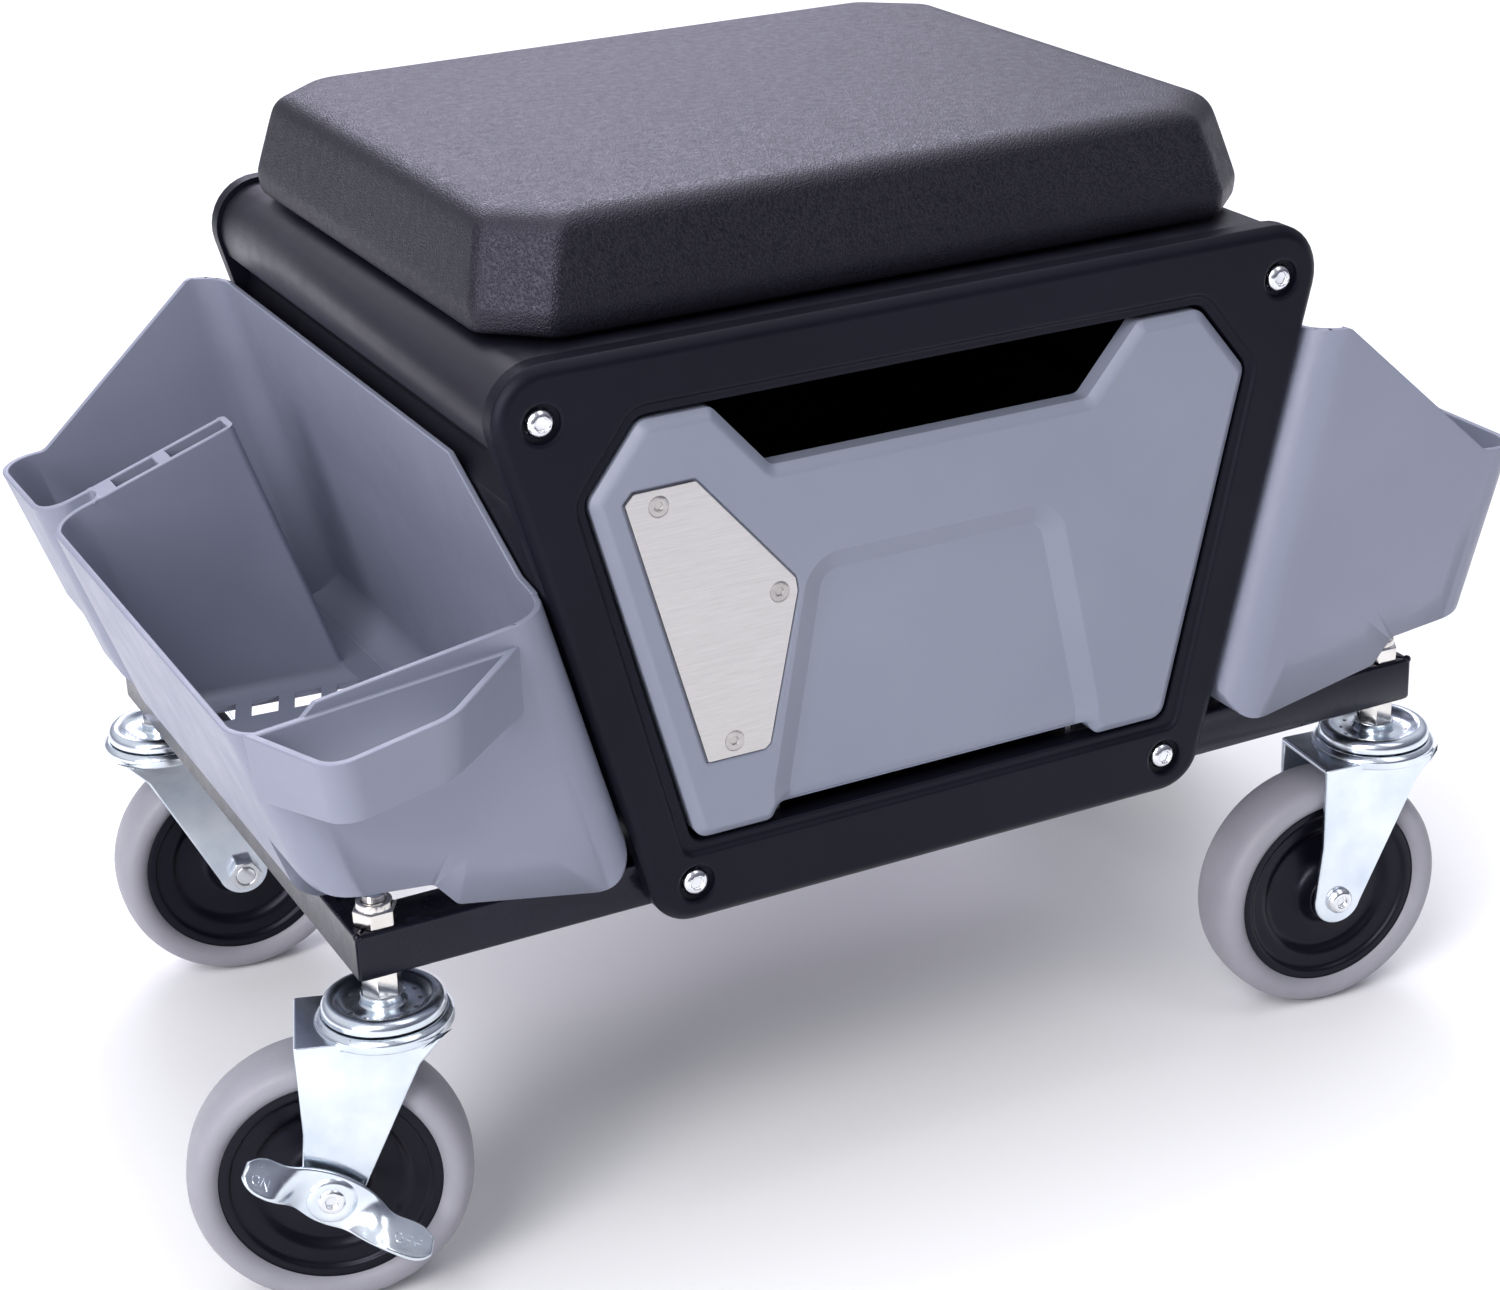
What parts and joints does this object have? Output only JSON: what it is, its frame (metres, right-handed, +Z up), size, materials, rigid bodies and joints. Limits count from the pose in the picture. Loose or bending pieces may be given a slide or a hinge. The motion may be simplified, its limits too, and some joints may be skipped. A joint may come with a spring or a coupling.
{
  "type": "rolling creeper seat",
  "caption": "Low rolling work seat with a padded-look moulded top, a front drawer, a leaning tool bin on each side and swivel casters on a square tube base.",
  "frame": {"origin": "on the floor under the middle of the base frame", "axes": "+X along the long side to the viewer's right, -Y towards the drawer side, +Z up"},
  "size_m": [0.5652, 0.385, 0.3741],
  "materials": {
    "black_frame": "satin black paint",
    "black_plastic": "satin black moulding",
    "seat_skin": "black moulding with a fine leather grain",
    "board_plastic": "plain black moulding",
    "grey_plastic": "blue-grey satin moulding",
    "tray_plastic": "plain black moulding",
    "brushed_plate": "brushed",
    "bright_screws": "bright plating",
    "bar_steel": "plain",
    "runner_steel": "plain",
    "bright_nuts": "bright nickel plating",
    "zinc_steel": "bright zinc with a blue tint",
    "ball_steel": "polished",
    "bush_plastic": "plain",
    "hub_plastic": "satin black moulding",
    "grey_tyre": "soft grey tread",
    "pedal_steel": "bright zinc with a blue tint"
  },
  "bodies": {
    "base": {"cover_saddles": "black_plastic", "floor_pan": "black_plastic", "frame_front_rail": "black_frame", "frame_left_rail": "black_frame", "frame_rear_rail": "black_frame", "frame_right_rail": "black_frame", "front_plate": "black_plastic", "front_plate_screws": "bright_screws", "left_bin": "grey_plastic", "left_runner": "runner_steel", "left_side_panel": "black_plastic", "rear_plate": "black_plastic", "rear_plate_screws": "bright_screws", "right_bin": "grey_plastic", "right_runner": "runner_steel", "right_side_panel": "black_plastic", "seat_board": "board_plastic", "seat_pad": "seat_skin", "seat_screws": "bright_screws", "stem_lower_nuts": "bright_nuts", "stem_top_nuts": "bright_nuts", "tie_bars": "bar_steel", "top_cover": "black_plastic", "front_left_stem": "zinc_steel", "front_right_stem": "zinc_steel", "rear_left_stem": "zinc_steel", "rear_right_stem": "zinc_steel", "front_left_bearing_balls": "ball_steel", "front_right_bearing_balls": "ball_steel", "rear_left_bearing_balls": "ball_steel", "rear_right_bearing_balls": "ball_steel"},
    "drawer": {"drawer_front": "grey_plastic", "drawer_tray": "tray_plastic", "drawer_screws": "bright_screws", "trim_plate": "brushed_plate", "trim_screws": "bright_screws"},
    "front_left_swivel": {"front_left_fork": "zinc_steel", "front_left_axle": "bright_screws"},
    "front_left_wheel": {"front_left_wheel_bush": "bush_plastic", "front_left_wheel_hub": "hub_plastic", "front_left_wheel_tyre": "grey_tyre"},
    "front_left_pedal": {"front_left_brake_pedal": "pedal_steel"},
    "front_right_swivel": {"front_right_fork": "zinc_steel", "front_right_axle": "bright_screws"},
    "front_right_wheel": {"front_right_wheel_bush": "bush_plastic", "front_right_wheel_hub": "hub_plastic", "front_right_wheel_tyre": "grey_tyre"},
    "rear_left_swivel": {"rear_left_fork": "zinc_steel", "rear_left_axle": "bright_screws"},
    "rear_left_wheel": {"rear_left_wheel_bush": "bush_plastic", "rear_left_wheel_hub": "hub_plastic", "rear_left_wheel_tyre": "grey_tyre"},
    "rear_right_swivel": {"rear_right_fork": "zinc_steel", "rear_right_axle": "bright_screws"},
    "rear_right_wheel": {"rear_right_wheel_bush": "bush_plastic", "rear_right_wheel_hub": "hub_plastic", "rear_right_wheel_tyre": "grey_tyre"},
    "rear_right_pedal": {"rear_right_brake_pedal": "pedal_steel"}
  },
  "joints": [
    {"name": "drawer_slide", "type": "slide", "parent": "base", "child": "drawer", "axis": [0, -1, 0], "range_m": [0, 0.2]},
    {"name": "front_left_swivel_turn", "type": "hinge", "parent": "base", "child": "front_left_swivel", "pos_m": [-0.2108, -0.13, 0.11], "axis": [0, 0, 1], "continuous": true},
    {"name": "front_left_wheel_roll", "type": "hinge", "parent": "front_left_swivel", "child": "front_left_wheel", "pos_m": [-0.2333, -0.12225, 0.05], "axis": [-0.3255, -0.9455, 0], "continuous": true},
    {"name": "front_left_pedal_turn", "type": "hinge", "parent": "front_left_swivel", "child": "front_left_pedal", "pos_m": [-0.2333, -0.12225, 0.05], "axis": [-0.3255, -0.9455, 0], "range_deg": [0, 30]},
    {"name": "front_right_swivel_turn", "type": "hinge", "parent": "base", "child": "front_right_swivel", "pos_m": [0.2108, -0.13, 0.11], "axis": [0, 0, 1], "continuous": true},
    {"name": "front_right_wheel_roll", "type": "hinge", "parent": "front_right_swivel", "child": "front_right_wheel", "pos_m": [0.18712, -0.12759, 0.05], "axis": [-0.1014, -0.9948, 0], "continuous": true},
    {"name": "rear_left_swivel_turn", "type": "hinge", "parent": "base", "child": "rear_left_swivel", "pos_m": [-0.2108, 0.13, 0.11], "axis": [0, 0, 1], "continuous": true},
    {"name": "rear_left_wheel_roll", "type": "hinge", "parent": "rear_left_swivel", "child": "rear_left_wheel", "pos_m": [-0.18712, 0.12759, 0.05], "axis": [0.1014, 0.9948, 0], "continuous": true},
    {"name": "rear_right_swivel_turn", "type": "hinge", "parent": "base", "child": "rear_right_swivel", "pos_m": [0.2108, 0.13, 0.11], "axis": [0, 0, 1], "continuous": true},
    {"name": "rear_right_wheel_roll", "type": "hinge", "parent": "rear_right_swivel", "child": "rear_right_wheel", "pos_m": [0.2333, 0.12225, 0.05], "axis": [0.3255, 0.9455, 0], "continuous": true},
    {"name": "rear_right_pedal_turn", "type": "hinge", "parent": "rear_right_swivel", "child": "rear_right_pedal", "pos_m": [0.2333, 0.12225, 0.05], "axis": [0.3255, 0.9455, 0], "range_deg": [0, 30]}
  ]
}
